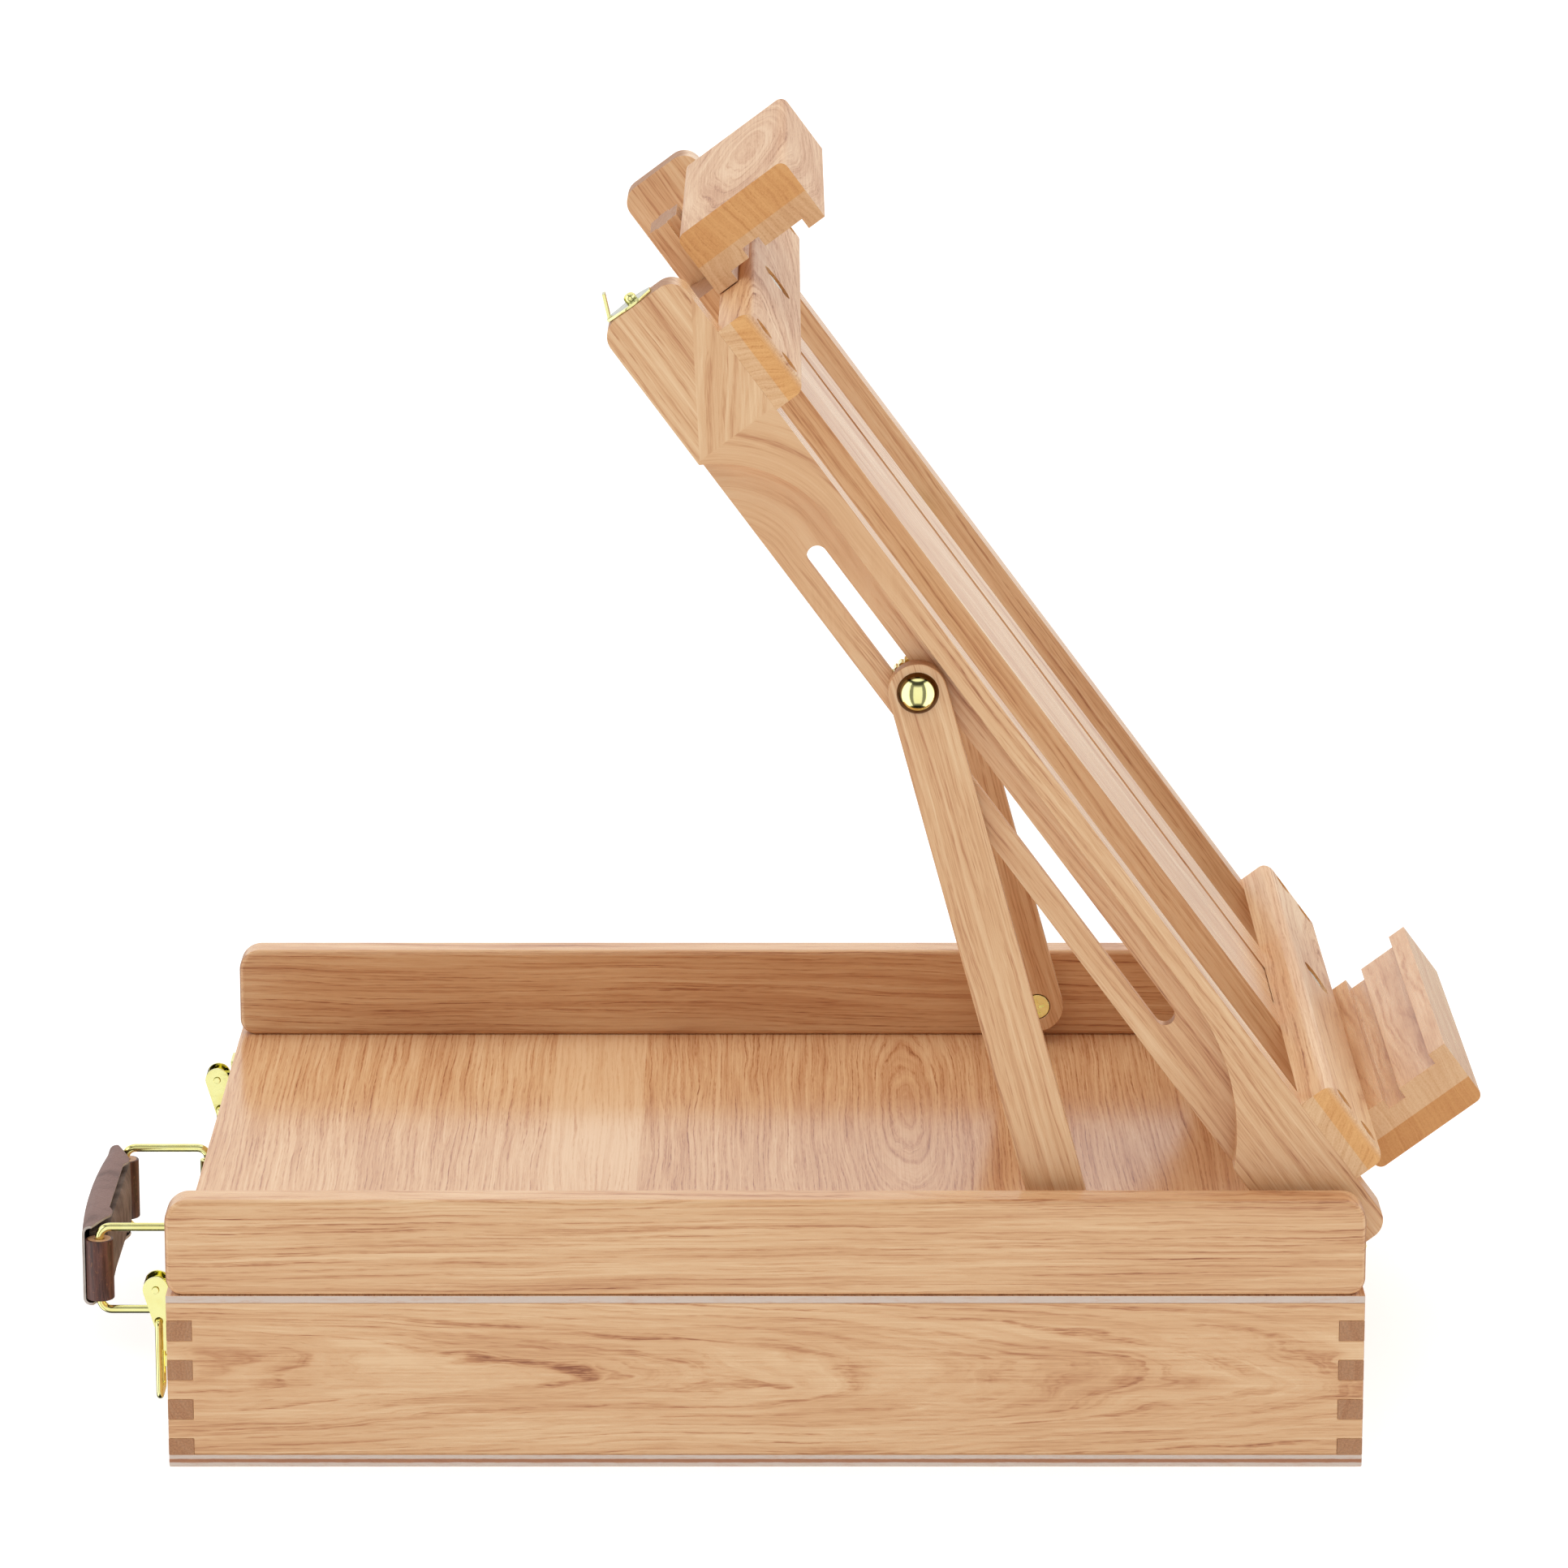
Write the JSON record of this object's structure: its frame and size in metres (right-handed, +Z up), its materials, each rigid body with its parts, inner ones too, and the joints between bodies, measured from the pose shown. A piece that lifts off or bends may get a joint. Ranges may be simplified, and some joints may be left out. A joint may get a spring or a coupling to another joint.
{
  "type": "pochade box",
  "caption": "Wooden sketch box with a hinged lid that carries a folding table easel with a sliding mast, canvas clamp and tray, brass latches and a leather handle.",
  "frame": {"origin": "centre of the box's underside, on the surface it stands on", "axes": "+X towards the artist, +Y to the artist's right, +Z up"},
  "size_m": [0.5003, 0.34, 0.4378],
  "materials": {
    "beech": "oiled light hardwood, fine straight grain",
    "plywood": "light veneered plywood, satin",
    "brass": "polished brass plate",
    "steel": "zinc-plated steel",
    "leather": "dark brown leather with a cut edge"
  },
  "bodies": {
    "box": {"bottom_panel": "plywood", "side_wall_left": "beech", "side_wall_right": "beech", "end_wall_front": "beech", "end_wall_back": "beech", "divider_long": "beech", "dividers_short": "beech", "hinge_wall_leaves": "brass", "hinge_wall_screws": "brass", "hinge_pins": "brass", "handle_brackets": "brass", "handle_screws": "brass", "latch_catch_left": "brass", "latch_catch_right": "brass", "catch_screws": "brass"},
    "lid": {"lid_panel": "plywood", "cheek_left": "beech", "cheek_right": "beech", "hinge_lid_leaves": "brass", "hinge_lid_screws": "brass", "latch_bracket_left": "brass", "latch_bracket_right": "brass", "latch_pin_left": "brass", "latch_pin_right": "brass", "latch_tab_screws": "brass"},
    "frame_pivots": {"frame_pivot_bolts": "brass", "frame_spacers": "brass"},
    "easel_frame": {"frame_side_left": "beech", "frame_side_right": "beech", "crossbar_top": "beech", "crossbar_bottom": "beech", "crossbar_screws": "steel", "mast_friction_bolts": "steel", "mast_guide_left": "beech", "mast_guide_right": "beech", "guide_screws": "steel", "canvas_tray": "beech", "hook_screw": "brass"},
    "mast": {"mast_slider": "beech", "canvas_clamp": "beech", "clamp_screws": "steel"},
    "corner_hook": {"corner_hook": "brass"},
    "handle_ring_left": {"handle_ring_left": "brass"},
    "handle_ring_right": {"handle_ring_right": "brass"},
    "handle_grip": {"handle_grip": "leather"},
    "arm_pivot_left": {"arm_pivot_screw_left": "brass", "arm_spacer_left": "brass"},
    "arm_left": {"support_arm_left": "beech", "slot_bolt_left": "brass"},
    "nut_left": {"knurled_nut_left": "brass"},
    "latch_lever_left": {"latch_lever_left": "brass"},
    "latch_bail_left": {"latch_bail_left": "brass"},
    "arm_pivot_right": {"arm_pivot_screw_right": "brass", "arm_spacer_right": "brass"},
    "arm_right": {"support_arm_right": "beech", "slot_bolt_right": "brass"},
    "nut_right": {"knurled_nut_right": "brass"},
    "latch_lever_right": {"latch_lever_right": "brass"},
    "latch_bail_right": {"latch_bail_right": "brass"}
  },
  "joints": [
    {"name": "lid_open", "type": "hinge", "parent": "box", "child": "lid", "pos_m": [0.208, 0, 0.061], "axis": [0, 1, 0], "range_deg": [0, 90]},
    {"name": "easel_fold", "type": "hinge", "parent": "lid", "child": "frame_pivots", "pos_m": [0.1975, 0, 0.0785], "axis": [0, 1, 0], "range_deg": [-53.4, 0]},
    {"name": "easel_raise", "type": "hinge", "parent": "frame_pivots", "child": "easel_frame", "pos_m": [0.1975, 0, 0.0785], "axis": [0, 1, 0], "range_deg": [0, 36.6]},
    {"name": "mast_slide", "type": "slide", "parent": "easel_frame", "child": "mast", "axis": [-0.5962, 0, 0.8028], "range_m": [0, 0.25]},
    {"name": "hook_turn", "type": "hinge", "parent": "easel_frame", "child": "corner_hook", "pos_m": [-0.04369, -0.146, 0.40074], "axis": [-0.5962, 0, 0.8028], "range_deg": [0, 90]},
    {"name": "arm_fold_left", "type": "hinge", "parent": "lid", "child": "arm_pivot_left", "pos_m": [0.1043, -0.148, 0.0764], "axis": [0, 1, 0], "range_deg": [-75.16, 0]},
    {"name": "arm_raise_left", "type": "hinge", "parent": "arm_pivot_left", "child": "arm_left", "pos_m": [0.1043, -0.148, 0.0764], "axis": [0, 1, 0], "range_deg": [0, 42]},
    {"name": "nut_turn_left", "type": "hinge", "parent": "arm_left", "child": "nut_left", "pos_m": [0.05148, -0.135, 0.26857], "axis": [0, 1, 0], "range_deg": [-180, 180]},
    {"name": "latch_swing_left", "type": "hinge", "parent": "lid", "child": "latch_lever_left", "pos_m": [-0.2118, -0.13, 0.0522], "axis": [0, 1, 0], "range_deg": [0, 120]},
    {"name": "bail_swing_left", "type": "hinge", "parent": "latch_lever_left", "child": "latch_bail_left", "pos_m": [-0.2109, -0.13, 0.0408], "axis": [0, 1, 0], "range_deg": [0, 90]},
    {"name": "arm_fold_right", "type": "hinge", "parent": "lid", "child": "arm_pivot_right", "pos_m": [0.1043, 0.148, 0.0764], "axis": [0, 1, 0], "range_deg": [-75.16, 0]},
    {"name": "arm_raise_right", "type": "hinge", "parent": "arm_pivot_right", "child": "arm_right", "pos_m": [0.1043, 0.148, 0.0764], "axis": [0, 1, 0], "range_deg": [0, 42]},
    {"name": "nut_turn_right", "type": "hinge", "parent": "arm_right", "child": "nut_right", "pos_m": [0.05148, 0.135, 0.26857], "axis": [0, 1, 0], "range_deg": [-180, 180]},
    {"name": "latch_swing_right", "type": "hinge", "parent": "lid", "child": "latch_lever_right", "pos_m": [-0.2118, 0.13, 0.0522], "axis": [0, 1, 0], "range_deg": [0, 120]},
    {"name": "bail_swing_right", "type": "hinge", "parent": "latch_lever_right", "child": "latch_bail_right", "pos_m": [-0.2109, 0.13, 0.0408], "axis": [0, 1, 0], "range_deg": [0, 90]},
    {"name": "handle_swing", "type": "hinge", "parent": "box", "child": "handle_ring_left", "pos_m": [-0.209, -0.049, 0.0327], "axis": [0, 0, 1], "range_deg": [-70, 70]},
    {"name": "handle_follow", "type": "hinge", "parent": "box", "child": "handle_ring_right", "pos_m": [-0.209, 0.049, 0.0327], "axis": [0, 0, 1], "range_deg": [-70, 70]},
    {"name": "grip_turn", "type": "hinge", "parent": "handle_ring_left", "child": "handle_grip", "pos_m": [-0.24, -0.049, 0.0327], "axis": [0, 0, 1], "range_deg": [-70, 70]}
  ],
  "couplings": [
    {"joint": "arm_fold_left", "follows": "easel_fold", "ratio": 1.4073},
    {"joint": "arm_raise_left", "follows": "easel_raise", "ratio": 1.1472},
    {"joint": "arm_fold_right", "follows": "easel_fold", "ratio": 1.4073},
    {"joint": "arm_raise_right", "follows": "easel_raise", "ratio": 1.1472},
    {"joint": "handle_follow", "follows": "handle_swing", "ratio": 1},
    {"joint": "grip_turn", "follows": "handle_swing", "ratio": -1}
  ]
}
